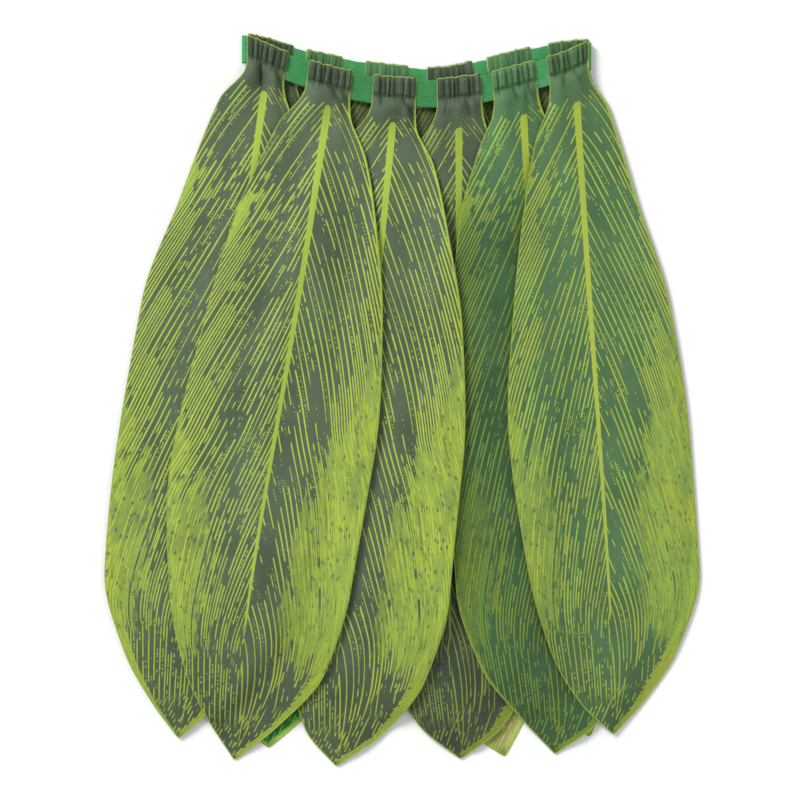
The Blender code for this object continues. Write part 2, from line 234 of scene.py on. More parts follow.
class Nodes:
    # short calls for a node tree: each gives back the value that the next one reads

    def __init__(self, tree):
        self.tree = tree

    def add(self, kind, **settings):
        node = self.tree.nodes.new(kind)
        for key, value in settings.items():
            setattr(node, key, value)
        return node

    def feed(self, socket, value):
        if isinstance(value, Value):
            self.tree.links.new(value.socket, socket)
        else:
            socket.default_value = value

    def read(self, sockets):
        return {socket.name: Value(self, socket) for socket in sockets}

    def worked(self, node, *values):
        # the node's first output, once its first inputs are fed
        for socket, value in zip(node.inputs, values):
            self.feed(socket, value)
        return Value(self, node.outputs[0])

    def calc(self, operation, *values, clamp=False):
        return self.worked(self.add("ShaderNodeMath", operation=operation, use_clamp=clamp), *values)

    def most(self, a, b):
        return self.calc("MAXIMUM", a, b)

    def least(self, a, b):
        return self.calc("MINIMUM", a, b)

    def floor(self, value):
        return self.calc("FLOOR", value)

    def offMiddle(self, value):
        # how far the value lies from half way between two whole numbers
        return abs(self.calc("FRACT", value) - 0.5)

    def ease(self, value, low, high):
        # 0 below low, 1 above high, smooth between
        return self.worked(self.add("ShaderNodeMapRange", interpolation_type="SMOOTHSTEP"), value, low, high)

    def mix(self, factor, first, second):
        # first where factor is 0, second where it is 1, for plain numbers
        return factor * (second - first) + first

    def scaled(self, vector, factors):
        return self.worked(self.add("ShaderNodeVectorMath", operation="MULTIPLY"), vector, factors)

    def joined(self, x, y, z=0.0):
        return self.worked(self.add("ShaderNodeCombineXYZ"), x, y, z)

    def split(self, vector):
        node = self.add("ShaderNodeSeparateXYZ")
        self.feed(node.inputs[0], vector)
        return list(self.read(node.outputs).values())

    def field(self, name):
        return self.read(self.add("ShaderNodeAttribute", attribute_name=name).outputs)["Vector"]

    def objectPlace(self):
        return self.read(self.add("ShaderNodeTexCoord").outputs)["Object"]

    def noise(self, vector, scale=1.0, detail=0.0, flat=False):
        node = self.add("ShaderNodeTexNoise", noise_dimensions="2D" if flat else "3D")
        self.feed(node.inputs["Vector"], vector)
        self.feed(node.inputs["Scale"], scale)
        self.feed(node.inputs["Detail"], detail)
        return self.read(node.outputs)["Fac"]

    def chance(self, kind, value):
        # a number from 0 to 1 by chance, one for each value. The kind is W, a number, or Vector
        node = self.add("ShaderNodeTexWhiteNoise", noise_dimensions="1D" if kind == "W" else "3D")
        self.feed(node.inputs[kind], value)
        return self.read(node.outputs)["Value"]

    def blend(self, factor, first, second, mode="MIX"):
        node = self.add("ShaderNodeMix", data_type="RGBA", blend_type=mode)
        self.feed(node.inputs[0], factor)
        for socket, value in ((node.inputs[6], first), (node.inputs[7], second)):
            self.feed(socket, (*value, 1.0) if isinstance(value, tuple) else value)
        return Value(self, node.outputs[2])

    def bump(self, shader, height, strength, distance):
        node = self.add("ShaderNodeBump")
        self.feed(node.inputs["Strength"], strength)
        self.feed(node.inputs["Distance"], distance)
        self.feed(node.inputs["Height"], height)
        self.feed(shader.inputs["Normal"], Value(self, node.outputs["Normal"]))


def newGroup(name, inputs, outputs):
    # inputs gives each socket's kind. All outputs are plain numbers
    group = bpy.data.node_groups.new(name, "ShaderNodeTree")
    for socketName, kind in inputs.items():
        group.interface.new_socket(socketName, in_out="INPUT", socket_type="NodeSocket" + kind)
    for socketName in outputs:
        group.interface.new_socket(socketName, in_out="OUTPUT", socket_type="NodeSocketFloat")
    n = Nodes(group)
    return group, n, n.read(n.add("NodeGroupInput").outputs), n.add("NodeGroupOutput").inputs


def weaveGroup():
    # plain weave: two crossing sets of threads, each a sine across its own direction
    group, n, given, out = newGroup("plainWeave", {"Place": "Vector", "Threads per mm": "Float"}, ["Height"])
    x, y, _ = n.split(given["Place"])
    turn = given["Threads per mm"] * (2.0 * np.pi / mm)
    warp = n.calc("SINE", x * turn)
    weft = n.calc("SINE", y * turn)
    n.feed(out["Height"], (warp + weft) * 0.25 + 0.5)
    return group


def printGroup():
    # the leaf print. Veins are the whole numbers of the phase, and finer ones lie half way between.
    # Along each vein a noise of its own says where it is a stroke and where it is broken
    inputs = dict.fromkeys(("Place", "Vein", "Print", "Fold", "Object"), "Vector")
    group, n, given, out = newGroup("leafPrint", inputs, ["Lime", "Rib", "Warm", "Fill"])
    across, down, edge = n.split(given["Place"])       # -1 to 1, mm below the rib's top, mm from the edge
    phase, along, pitch = n.split(given["Vein"])       # vein number, mm along it, mm from one to the next
    dense, busy, ribEdge = n.split(given["Print"])     # how dense, how busy, mm outside the rib
    _, full, tipDepth = n.split(given["Fold"])         # how nearly flat lime, 1 to 2 down the tip zone
    tip = n.least(tipDepth, 1.0)
    dense = n.most(dense, 0.0)
    side = n.calc("GREATER_THAN", across, 0.0)
    size = abs(across)
    wobble = n.noise(given["Object"], scale=330.0, detail=1.0)

    def lineKey(shifted, seed):
        # each line's own number, unlike on the two sides of the rib
        return n.calc("MULTIPLY_ADD", side, 41.7, n.calc("MULTIPLY_ADD", n.floor(shifted), 3.73, seed))

    def chanceOf(shifted, seed):
        return n.chance("W", lineKey(shifted, seed)) - 0.5

    def ownNoise(shifted, seed, length, run=along):
        # a noise of the line's own, which changes along it over about this length in mm
        return n.noise(n.joined(lineKey(shifted, seed), run / length), flat=True)

    def strokes(shifted, seed, wanted, half, long, short, run=along, apart=pitch):
        # a stroke swells in where the noise passes the threshold, so its ends are narrow
        own = ownNoise(shifted, seed, short, run) * 0.42 + ownNoise(shifted, seed, long, run) * 0.58
        swell = n.calc("MULTIPLY", own - (0.75 - wanted * 0.5), 18.0, clamp=True)
        inside = swell * (wobble * 0.4 - 0.2 + half) - n.offMiddle(shifted) * apart
        return n.ease(inside, -0.14, 0.14) * n.ease(swell, 0.02, 0.20)

    # where the lines draw together, those that have no room end one by one
    shifted = phase + 0.5
    room = (pitch - 0.4) * (tip * 0.16 - 0.56)
    crowded = n.ease(room + chanceOf(shifted, 29.3), -0.56, -0.44)
    wanted = chanceOf(shifted, 3.1) * 0.24 + busy - crowded * 1.3
    # broad and narrow lines come in groups
    breadth = n.noise(n.joined(phase * 0.55, along * 0.016, side), detail=1.0)
    half = n.least(pitch * 0.24, 0.53) * (breadth * 1.9 - 0.05) + dense * pitch * 0.03
    main = strokes(shifted, 5.3, wanted, half, 42.0, 10.0)

    # the finer lines fill the dense parts, and each reaches out of them by a length of its own
    own = chanceOf(phase, 61.9) * 0.75 + dense
    tight = n.ease(pitch, 3.2, 2.2) * (1.0 - full)
    fineWanted = own * 1.25 - (tip + 0.34) - tight
    fineHalf = n.least(pitch * 0.15, 0.46) + dense * pitch * 0.02
    fine = strokes(phase, 77.1, fineWanted, fineHalf, 40.0, 11.0)
    lime = n.most(main, fine * 0.92)

    # beads: broken dots along the fine lines, in groups
    beads = n.ease(ownNoise(phase, 19.9, 1.3), 0.58, 0.64) * n.ease(n.offMiddle(phase) * pitch, 0.62, 0.36)
    grouped = n.ease(n.noise(n.joined(phase * 0.8, along * 0.03, side), detail=1.0), 0.50, 0.60)
    grouped = grouped * (0.8 - tip * 0.8) * n.ease(pitch, 2.2, 3.4)
    lime = n.most(lime, beads * grouped)

    # low on the left the lines stand upright, with dotted ones between
    apart = 4.9 - n.most(down - 430.0, 0.0) * 0.014
    upright = ribEdge / apart
    drawn = strokes(upright, 14.9, 0.76, 0.50, 36.0, 9.0, down, apart)
    dotted = strokes(upright + 0.5, 52.3, 0.44, 0.42, 12.0, 2.6, down, apart)
    drawn = n.most(drawn, dotted) * n.ease(tipDepth, 1.62, 1.30)
    lime = n.mix((1.0 - side) * n.ease(tip, 0.35, 0.65), lime, drawn)

    # on the right there are broken upright ones, outside the veins that run to the tip
    loose = strokes(upright, 33.6, 0.52, 0.46, 15.0, 4.5, down, apart)
    outer = n.ease(across, 0.44, 0.54) * n.ease(tip, 0.60, 0.90) * n.ease(tipDepth, 1.34, 1.14)
    lime = n.most(lime, loose * outer)

    # close to the tip there are short slanting strokes
    aside = ribEdge * (side * 2.0 - 1.0)
    slant = aside * 0.91 + down * 0.42
    upSlant = aside * 0.42 - down * 0.91
    slanting = strokes(slant / 2.9, 70.7, 0.56, 0.50, 13.0, 5.4, upSlant, 2.9)
    lime = n.most(lime, slanting * n.ease(side * 0.16 + tipDepth, 1.30, 1.55))

    # upright dark specks in the dense parts: a cell here and there, narrow and longer than wide
    column = phase * 2.0
    row = (n.floor(column) * 1.37 + along) / 3.8
    cell = n.chance("Vector", n.joined(n.floor(column), n.floor(row), side))
    inCell = n.ease(n.offMiddle(column), 0.50, 0.26) * n.ease(n.offMiddle(row), 0.50, 0.30)
    specks = inCell * n.ease(cell, 0.87, 0.98)

    # dark hairlines half way between a vein and a finer line, here and there
    between = column + 0.5
    hair = n.ease(n.offMiddle(between), 0.22, 0.10) * n.ease(ownNoise(between, 44.1, 22.0), 0.38, 0.52)

    # a hatched cross mark or two: mm below the rib's top, half height, and 1 for the right side
    level = down + (n.noise(n.joined(across, side), scale=1.7, detail=2.0, flat=True) * 26.0 - 13.0)
    speck = n.noise(n.scaled(given["Object"], (480.0, 620.0, 1.0)), detail=1.0)
    for place, high, right in ((301.0, 1.8, 1.0), (426.0, 1.9, 0.0)):
        here = n.ease(abs(level - place), high, high * 0.4) * n.calc("COMPARE", side, right, 0.1)
        here = here * n.ease(size, 0.28, 0.40)
        lime = n.mix(here * n.ease(speck, 0.54, 0.60), lime, 0.1)
        lime = n.mix(here * n.ease(speck, 0.40, 0.34), lime, 0.95)

    # the print begins about level with the rib's top, each line at a height of its own
    begun = chanceOf(shifted, 12.7) * 8.0 + (wobble * 6.0 + down) - 3.0 + n.most(size, side) * 4.5
    lime = lime * n.ease(begun, 1.6, 3.0)

    # the lime border, broad low on the right and hatched along the edge
    broad = side * n.ease(down, 280.0, 435.0) * (n.ease(down, 500.0, 450.0) * 5.0 + 2.6)
    notch = n.noise(n.joined(along * 0.42, side), detail=1.0, flat=True)
    reach = (side * 0.8 + 0.5 + broad) * (notch + 0.5)
    hatch = n.calc("SINE", wobble * 2.2 + edge * (2.0 * np.pi / 1.9))
    border = n.ease(reach - edge, -0.35, 0.35) * (1.0 - n.ease(hatch, 0.25, 0.90) * 0.55)
    lime = n.most(lime, border * n.ease(down, -27.0, -1.0))

    # nearly flat lime between the lines, each space begun and ended at a place of its own
    space = chanceOf(phase, 91.3) * 0.80 + (ownNoise(phase, 8.8, 9.0) * 0.5 - 0.25)
    fill = n.ease(full + space * n.ease(full, 0.02, 0.30), 0.40, 0.60)
    marked = n.most(specks * n.most(fill, dense * 0.5) * 0.8, hair * fill * 0.74)
    shown = fill * n.calc("MULTIPLY_ADD", full, 0.75, 0.32, clamp=True)
    patch = n.noise(n.joined(phase * 0.16, along * 0.013, side), detail=2.0)

    n.feed(out["Lime"], lime * (1.0 - marked))
    n.feed(out["Fill"], shown * (1.0 - marked))
    n.feed(out["Rib"], n.ease(wobble * 0.5 - 0.25 - ribEdge, -0.2, 0.2))
    n.feed(out["Warm"], n.ease(patch, 0.42, 0.60))
    return group


plainWeave = weaveGroup()
leafPrint = printGroup()


def startMaterial(name, roughness, sheen):
    made = bpy.data.materials.new(name)
    made.use_nodes = True
    shader = made.node_tree.nodes["Principled BSDF"]
    shader.inputs["Roughness"].default_value = roughness
    shader.inputs["Sheen Weight"].default_value = sheen
    shader.inputs["Specular IOR Level"].default_value = 0.3
    return made, Nodes(made.node_tree), shader


def addGroup(n, group, **values):
    node = n.add("ShaderNodeGroup", node_tree=group)
    for key, value in values.items():
        n.feed(node.inputs[key.replace("_", " ")], value)
    return n.read(node.outputs)


# the colours of the printed side, by column
toneColumns = ("ground", "groundDeep", "lime", "limeWarm", "dense", "rib")
toneRows = {
    "greyGreen": ((80, 97, 72), (69, 85, 61), (157, 184, 64),
                   (166, 185, 58), (146, 171, 60), (152, 176, 60)),
    # a copy of greyGreen painted darker all over, as painted shade, for the leaf that lies low in the stack
    "shadowedGreyGreen": ((76, 93, 70), (62, 77, 56), (146, 170, 58),
                   (154, 170, 50), (112, 134, 54), (150, 172, 60)),
    "blueGreen": ((78, 120, 77), (66, 106, 66), (148, 176, 62),
                   (160, 174, 50), (118, 154, 56), (160, 178, 60)),
    "freshGreen": ((78, 113, 71), (68, 102, 62), (152, 178, 66),
                   (163, 175, 56), (134, 163, 62), (160, 178, 66)),
    "flapGreen": ((76, 122, 76), (56, 98, 54), (150, 176, 66),
                   (161, 172, 56), (124, 156, 64), (160, 178, 66)),
    "flapDeep": ((60, 96, 56), (38, 66, 36), (150, 176, 66),
                   (161, 172, 56), (124, 156, 64), (160, 178, 66)),
}

# painted shade: how much darker the whole print gets, from the first mm below the rib's top to the second
lowShade = {
    "greyGreen": ((0.78, 0.78, 0.76), 330.0, 520.0),
    "shadowedGreyGreen": ((0.62, 0.62, 0.62), 60.0, 300.0),
    "blueGreen": ((0.50, 0.55, 0.47), 10.0, 120.0),
    "freshGreen": ((0.80, 0.80, 0.76), 330.0, 500.0),
    "flapGreen": ((0.90, 0.90, 0.90), 60.0, 420.0),
    "flapDeep": ((0.90, 0.90, 0.90), 60.0, 420.0),
}

# how light the painted shade in the gathers is, for each tone
gatherLight = {
    "greyGreen": 0.18,
    "shadowedGreyGreen": 0.34,
    "blueGreen": 0.56,
    "freshGreen": 0.26,
    "flapGreen": 0.55,
    "flapDeep": 0.40,
}

# the wrong side: dark behind the waist, a painted shade where it lies in the gaps under the front leaves, and
# at the tip a ground and a vein colour
wrongTones = {
    "top": linear(46, 58, 28),
    "rim": linear(150, 188, 62),
    "olive": (linear(146, 148, 82), linear(178, 178, 104)),
    "green": (linear(38, 112, 46), linear(110, 178, 58)),
    "lime": (linear(150, 166, 56), linear(188, 192, 80)),
}


def leafMaterial(name, toneName, wrongTip=None):
    # the printed side, or the wrong side where wrongTip names its colours
    tone = {column: linear(*colour) for column, colour in zip(toneColumns, toneRows[toneName])}
    made, n, shader = startMaterial(name, 0.62, 0.12)
    place = n.objectPlace()
    leafPlace, folds = n.field("leafPlace"), n.field("foldField")
    drawn = addGroup(n, leafPrint, Place=leafPlace, Vein=n.field("veinField"), Print=n.field("printField"),
                     Fold=folds, Object=place)
    lime, rib, warm, fill = (drawn[key] for key in ("Lime", "Rib", "Warm", "Fill"))
    broad = n.noise(place, scale=22.0, detail=3.0)
    ground = n.blend(n.ease(broad, 0.35, 0.65), tone["ground"], tone["groundDeep"])
    mottled = n.ease(n.noise(place, scale=75.0, detail=3.0), 0.36, 0.62)
    ground = n.blend(fill * (mottled * 0.34 + 0.54), ground, tone["dense"])
    ink = n.blend(warm, tone["lime"], tone["limeWarm"])
    ink = n.blend(fill * (1.0 - warm) * 0.16, ink, tone["dense"])
    colour = n.blend(rib, n.blend(lime, ground, ink), tone["rib"])
    _, down, rim = n.split(leafPlace)
    if wrongTip:
        tipColour = n.blend(lime, *wrongTones[wrongTip])
        tipColour = n.blend(n.ease(rim, 2.8, 1.6), tipColour, wrongTones["rim"])
        # painted shade: near the waist the wrong side is mostly the dark top colour
        colour = n.blend(n.ease(down, 40.0, 360.0), n.blend(0.74, colour, wrongTones["top"]), tipColour)
    else:
        # painted shade, darker down the leaf
        low, first, last = lowShade[toneName]
        colour = n.blend(n.ease(down, first, last), colour, n.blend(1.0, colour, low, mode="MULTIPLY"))
    # painted shade: the colour is darkened down in the gathers and creases, where shade falls, as far as the
    # fold field's first value says
    deep = n.blend(1.0, colour, (0.34, 0.37, 0.33), mode="MULTIPLY")
    n.feed(shader.inputs["Base Color"], n.blend(n.split(folds)[0], deep, colour))
    n.feed(shader.inputs["Roughness"], 0.66 - lime * 0.06)
    # weave and a soft crumple, as the height of one bump
    weave = addGroup(n, plainWeave, Place=place, Threads_per_mm=2.2)["Height"]
    n.bump(shader, weave * 0.12 + n.noise(place, scale=55.0, detail=3.0) * 0.9, 0.35, 0.0012)
    return made


def threadMaterial(name, colour, deep):
    made, n, shader = startMaterial(name, 0.55, 0.2)
    twist = n.noise(n.objectPlace(), scale=1500.0, detail=1.0)
    n.feed(shader.inputs["Base Color"], n.blend(n.ease(twist, 0.35, 0.65), deep, colour))
    n.bump(shader, twist, 0.5, 0.0002)
    return made


def elasticMaterial():
    # knitted tape: ribs along its length, crossed by finer loops
    made, n, shader = startMaterial("greenElastic", 0.58, 0.15)
    along, over, light = n.split(n.field("tapePlace"))
    ribs = n.calc("SINE", over * (2.0 * np.pi / 1.05))
    loops = n.calc("SINE", along * (2.0 * np.pi / 0.7))
    tint = n.noise(n.joined(along * 0.12, over * 1.4), flat=True, detail=2.0)
    # the colour is lighter on each rib's crest, a painted highlight, and otherwise a tone that differs at
    # random along the tape
    shade = ribs * 0.16 + n.ease(tint, 0.3, 0.7)
    knit = n.blend(n.least(shade, 1.0), linear(48, 134, 72), linear(66, 152, 90))
    # painted shade: the knit is darkened where the tape's light value is low
    dim = n.blend(1.0, knit, (0.56, 0.66, 0.52), mode="MULTIPLY")
    n.feed(shader.inputs["Base Color"], n.blend(light, dim, knit))
    n.bump(shader, ribs * loops * 0.25 + ribs * 0.5, 0.4, 0.0004)
    return made


printedCloth = {name: leafMaterial(name + "Cloth", name) for name in toneRows}
wrongCloth = {tip: leafMaterial(tip + "WrongSide", "greyGreen", tip) for tip in ("olive", "green", "lime")}
limeThread = threadMaterial("limeThread", linear(160, 180, 62), linear(120, 146, 48))
plainThread = threadMaterial("plainThread", linear(84, 100, 70), linear(60, 74, 52))
greenElastic = elasticMaterial()
print("materials ready")


# the waistband in plan, which everything hangs on. All lengths from here are in mm

band = {
    "x": (-128.4, -109.6, -81.6, -45.6, -9.6, 26.4, 62.4, 98.4, 130.4, 151.6),
    "front": (293.2, 284.8, 273.6, 263.2, 257.6, 256.0, 259.6, 268.4, 277.6, 287.6),
    "back": (293.2, 289.2, 280.8, 273.2, 267.6, 265.2, 271.6, 280.4, 286.0, 287.6),
    "lean": 0.45,
    "tapeWidth": 22.0,
    "tapeThick": 0.9,
    "casingDepth": 15.0,
    "innerFlap": 17.0,
    "ruffle": 1.9,
    "topTurn": 3.0,
    "tapeBackZ": 1.8,
    "tapeFrontZ": 6.7,
    "tapeToCloth": 1.3,
}


def bandTop(side, x):
    return curve(x, band["x"], band[side])


def bandSlope(side, x):
    # rise over 8 mm of the band, eased to nothing in the last 30 mm at each end
    rise = (bandTop(side, x + 4.0) - bandTop(side, x - 4.0)) / 8.0
    return rise * smooth((x - band["x"][0]) / 30.0) * smooth((band["x"][-1] - x) / 30.0)


def bandPoint(side, x, depth):
    # the point depth below the tape's top edge. Cross lines lean by a share of the band's slope
    slope = bandSlope(side, x)
    length = np.sqrt(1.0 + slope * slope)
    return x + band["lean"] * depth * slope / length, bandTop(side, x) - depth / length


def bandDepth(side, x, y):
    return (bandTop(side, x) - y) / np.sqrt(1.0 + bandSlope(side, x) ** 2)


# the leaves: half widths left and right of the rib at these shares of the length

shares = (0.0, 0.04, 0.10, 0.20, 0.35, 0.55, 0.75, 0.87, 0.95, 1.0)
backHalf = (16.0, 27.0, 38.0, 50.0, 64.0, 74.0, 72.0, 56.0, 30.0, 0.0)


def leaf(name, casing, tip, bow, left=backHalf, right=backHalf, **own):
    one = {
        "name": name,
        "side": name.split("_")[1],
        "casingX": casing[0],              # the casing's middle
        "casingHalf": casing[1],
        "ribTop": casing[0],
        "tipX": tip[0],
        "tipY": tip[1],
        "bow": bow,
        "left": left,
        "right": right,
        "loft": (0.0, 0.0, 0.0, 0.0),      # crown, its place across, lift at the left and at the right
        "folds": (),                       # each with its place across, width, height and length
        "creases": (),                     # each from x, y to x, y, with its depth and width
        "tone": "greyGreen",
        "wrongTip": "olive",
        "printY": None,                    # where the rib's print starts
        "rim": 0.0,                        # how broad the lime border is low on the left
        "edging": 0,                       # -1 or 1 where the casing's left or right edging is thick
    }
    one.update(own)
    return one


backLeaves = [
    leaf("leaf_back_1", (-105.2, 18.0), (-168.0, -257.6), -4.0, tone="flapDeep",
         left=(16.0, 22.0, 34.0, 48.0, 64.0, 74.0, 72.0, 56.0, 30.0, 0.0),
         right=(16.0, 24.0, 38.0, 50.0, 64.0, 74.0, 72.0, 56.0, 30.0, 0.0)),
    leaf("leaf_back_2", (-62.0, 14.0), (-107.2, -279.2), -4.0, tone="flapGreen", edging=-1,
         left=(16.0, 24.0, 37.0, 50.0, 64.0, 74.0, 72.0, 56.0, 30.0, 0.0), wrongTip="green"),
    leaf("leaf_back_3", (-12.0, 16.8), (-40.0, -268.0), -4.0, tone="flapGreen"),
    leaf("leaf_back_4", (38.3, 17.8), (30.4, -268.0), 0.0),
    leaf("leaf_back_5", (85.6, 17.2), (82.4, -286.0), 0.0, tone="flapGreen", edging=-1,
         left=(16.0, 27.0, 38.0, 50.0, 64.0, 74.0, 76.0, 66.0, 40.0, 0.0),
         right=(16.0, 27.0, 38.0, 50.0, 62.0, 66.0, 54.0, 32.0, 14.4, 0.0)),
    leaf("leaf_back_6", (133.6, 16.0), (150.4, -270.4), 2.0, tone="flapGreen", wrongTip="lime",
         right=(16.0, 20.0, 30.0, 42.0, 58.0, 66.0, 60.0, 38.0, 14.0, 0.0)),
]

frontLeaves = [
    leaf("leaf_front_1", (-107.2, 16.0), (-179.2, -271.2), -4.8, rim=6.5,
         left=(16.0, 27.2, 39.2, 55.6, 74.4, 76.8, 72.0, 48.8, 21.6, 0.0),
         right=(16.0, 18.8, 30.4, 46.4, 62.4, 73.6, 70.4, 54.0, 28.0, 0.0),
         loft=(2.5, -0.1, 0.4, 0.0), printY=247.2,
         folds=((-0.45, 0.30, 3.2, 62.0), (0.42, 0.26, 3.4, 55.0)),
         creases=((-112.8, 272.0, -112.4, 243.0, 2.6, 1.9), (-101.6, 268.0, -93.5, 243.0, 1.5, 1.5))),
    leaf("leaf_front_2", (-56.8, 16.8), (-134.4, -288.8), -6.4,
         left=(17.6, 28.8, 42.4, 61.6, 72.4, 80.0, 64.0, 42.8, 18.8, 0.0),
         right=(16.8, 20.0, 35.6, 51.6, 70.0, 81.6, 80.0, 67.6, 33.2, 0.0),
         loft=(3.0, 0.0, 0.6, 1.8), printY=235.2,
         folds=((-0.35, 0.42, 3.4, 60.0), (0.50, 0.20, 2.6, 66.0)),
         creases=((-58.5, 255.0, -44.5, 226.0, 2.0, 1.6), (-51.2, 252.0, -38.5, 232.0, 1.4, 1.4))),
    leaf("leaf_front_3", (-5.6, 16.8), (-52.8, -293.6), -5.6,
         left=(16.8, 27.6, 43.2, 56.0, 65.6, 70.4, 59.2, 38.4, 23.2, 0.0),
         right=(16.8, 18.8, 35.6, 51.6, 71.6, 83.6, 84.0, 69.6, 38.4, 0.0),
         loft=(2.6, 0.1, 0.4, 1.8), printY=222.4,
         folds=((-0.10, 0.46, 3.0, 64.0), (0.62, 0.20, 2.8, 58.0)),
         creases=((-16.8, 245.0, -16.0, 232.0, 1.5, 1.4), (-1.6, 244.0, 14.8, 219.0, 2.0, 1.6),
                  (-23.5, 244.0, -27.2, 231.0, 0.9, 1.3))),
    leaf("leaf_front_4", (45.4, 17.0), (47.2, -288.0), -8.8, tone="shadowedGreyGreen",
         left=(16.8, 26.4, 40.0, 54.4, 67.2, 73.6, 64.0, 49.6, 29.2, 0.0),
         right=(16.8, 21.2, 33.6, 49.6, 65.6, 72.0, 68.8, 62.4, 37.2, 0.0),
         loft=(0.6, 0.0, 0.0, 0.0), printY=219.2,
         folds=((-0.50, 0.24, 2.6, 48.0), (0.05, 0.30, 2.8, 52.0), (0.60, 0.22, 2.2, 46.0)),
         creases=((36.8, 240.0, 33.0, 224.0, 1.1, 1.4), (51.2, 241.0, 56.8, 222.0, 1.3, 1.5))),
    leaf("leaf_front_5", (89.0, 17.0), (122.9, -284.0), -2.4, ribTop=96.0, tone="blueGreen", rim=2.0,
         left=(24.0, 27.2, 39.2, 54.8, 64.8, 71.6, 70.4, 53.6, 23.0, 0.0),
         right=(10.0, 14.4, 27.2, 41.6, 57.6, 67.2, 66.0, 54.0, 36.8, 0.0),
         loft=(3.4, -0.4, 0.6, 0.0), printY=228.0,
         folds=((-0.55, 0.28, 2.6, 60.0), (0.00, 0.26, 2.8, 54.0), (0.62, 0.22, 2.4, 50.0)),
         creases=((88.4, 250.0, 95.2, 235.0, 1.4, 1.4), (99.6, 254.0, 108.0, 237.0, 1.5, 1.5),
                  (75.6, 251.0, 77.6, 242.0, 0.9, 1.2))),
    leaf("leaf_front_6", (132.4, 16.4), (169.6, -268.0), 2.8, ribTop=138.4, tone="freshGreen", edging=1,
         left=(22.4, 23.2, 34.4, 46.4, 60.4, 72.2, 64.0, 49.4, 27.2, 0.0),
         right=(10.4, 20.0, 29.6, 44.0, 64.0, 72.8, 73.6, 53.6, 25.2, 0.0),
         loft=(3.0, 0.1, 2.6, 0.4), printY=238.4,
         folds=((-0.55, 0.30, 2.4, 56.0), (0.15, 0.30, 3.0, 52.0)),
         creases=((128.8, 264.0, 130.8, 247.0, 1.5, 1.4), (136.4, 266.0, 146.4, 249.0, 1.2, 1.4))),
]

# the order in which they lie, from the floor up
stack = [backLeaves[i] for i in (1, 4, 2, 5, 0, 3)] + [frontLeaves[i] for i in (0, 3, 4, 2, 1, 5)]

layers = {
    "wall": 1.0,
    "pitch": 2.6,
    "settleStart": 23.0,
    "settleLength": {"front": 28.0, "back": 10.0},
    "ramp": 26.0,
    "rampMargin": 3.0,
    "tiltShare": 0.22,
    "fanShare": {"front": 0.07, "back": 0.035},
    "wave": 0.5,
}


def seamY(one):
    return float(bandPoint(one["side"], np.array(one["casingX"]), band["casingDepth"])[1])


def section(one, share):
    # the rib bows by a share of the length cubed times what is left of it
    bow = one["bow"] * share**3 * (1.0 - share) / 0.1055
    rib = one["ribTop"] + (one["tipX"] - one["ribTop"]) * share + bow
    return rib, curve(share, shares, one["left"]), curve(share, shares, one["right"])


def tilt(one, x, share):
    slope = float(bandSlope(one["side"], np.array(one["casingX"])))
    return slope * (x - one["casingX"]) * (1.0 - smooth(share / layers["tiltShare"]))


def locate(one, x, y):
    # a plan point as a share of a leaf's length, a place across it, and its distance outside
    top = seamY(one)
    length = top - one["tipY"]
    share = (top - y) / length
    for _ in range(2):
        share = (top + tilt(one, x, share) - y) / length
    inside = np.clip(share, 0.0, 1.0)
    rib, left, right = section(one, inside)
    aside = x - rib
    width = np.where(aside < 0, left, right)
    across = np.clip(aside / np.maximum(width, 1.0), -1.0, 1.0)
    beyond = np.maximum(np.abs(aside) - width, 0.0)
    below = np.maximum(share - 1.0, 0.0) * length
    return inside, across, np.hypot(beyond, below)


def loftHeight(one, share, across):
    # a crown across the leaf and a lift at each side, gone at the band and nearly at the tip
    crown, crownAt, liftLeft, liftRight = one["loft"]
    height = crown * np.clip(1.0 - (across - crownAt) ** 2, 0.0, 1.0)
    height = height + liftLeft * np.clip(-across, 0.0, 1.0) ** 2 + liftRight * np.clip(across, 0.0, 1.0) ** 2
    return height * smooth(share / 0.25) * (1.0 - 0.85 * smooth((share - 0.8) / 0.2))


def foldHeight(one, across, depth):
    # each fold is a bell across the leaf, which rises below the seam and dies out down the blade
    total = 0.0
    below = depth - band["casingDepth"]
    for at, width, height, length in one["folds"]:
        bell = np.exp(-(((across - at) / width) ** 2))
        total = total + height * bell * smooth(below / 9.0) * (1.0 - smooth(below / length))
    return total * np.clip((1.0 - np.abs(across)) / 0.2, 0.0, 1.0)


def creaseHeight(one, x, y):
    # a sharp valley beside each crease's line: it falls off with distance, and fades at both ends
    total = np.zeros_like(x)
    for x0, y0, x1, y1, depth, width in one["creases"]:
        length = np.hypot(x1 - x0, y1 - y0)
        ux, uy = (x1 - x0) / length, (y1 - y0) / length
        along = ((x - x0) * ux + (y - y0) * uy) / length
        off = np.abs((x - x0) * uy - (y - y0) * ux)
        fade = smooth((along + 0.15) / 0.25) * (1.0 - smooth((along - 0.45) / 0.6))
        total -= depth * fade * np.exp(-off / (width * (0.7 + 0.9 * np.clip(along, 0, 1))))
    return total


def waveHeight(x, y):
    # a shallow shared swell, the product of three slow sines, never below zero
    swell = np.sin(x / 23.0 + 0.6 * np.sin(y / 61.0)) * np.sin(y / 47.0 + x / 80.0)
    swell = swell + 0.5 * np.sin(x / 11.0 + y / 90.0 + 1.3 * np.sin(y / 38.0))
    return layers["wave"] * (1.5 + swell) / 1.5


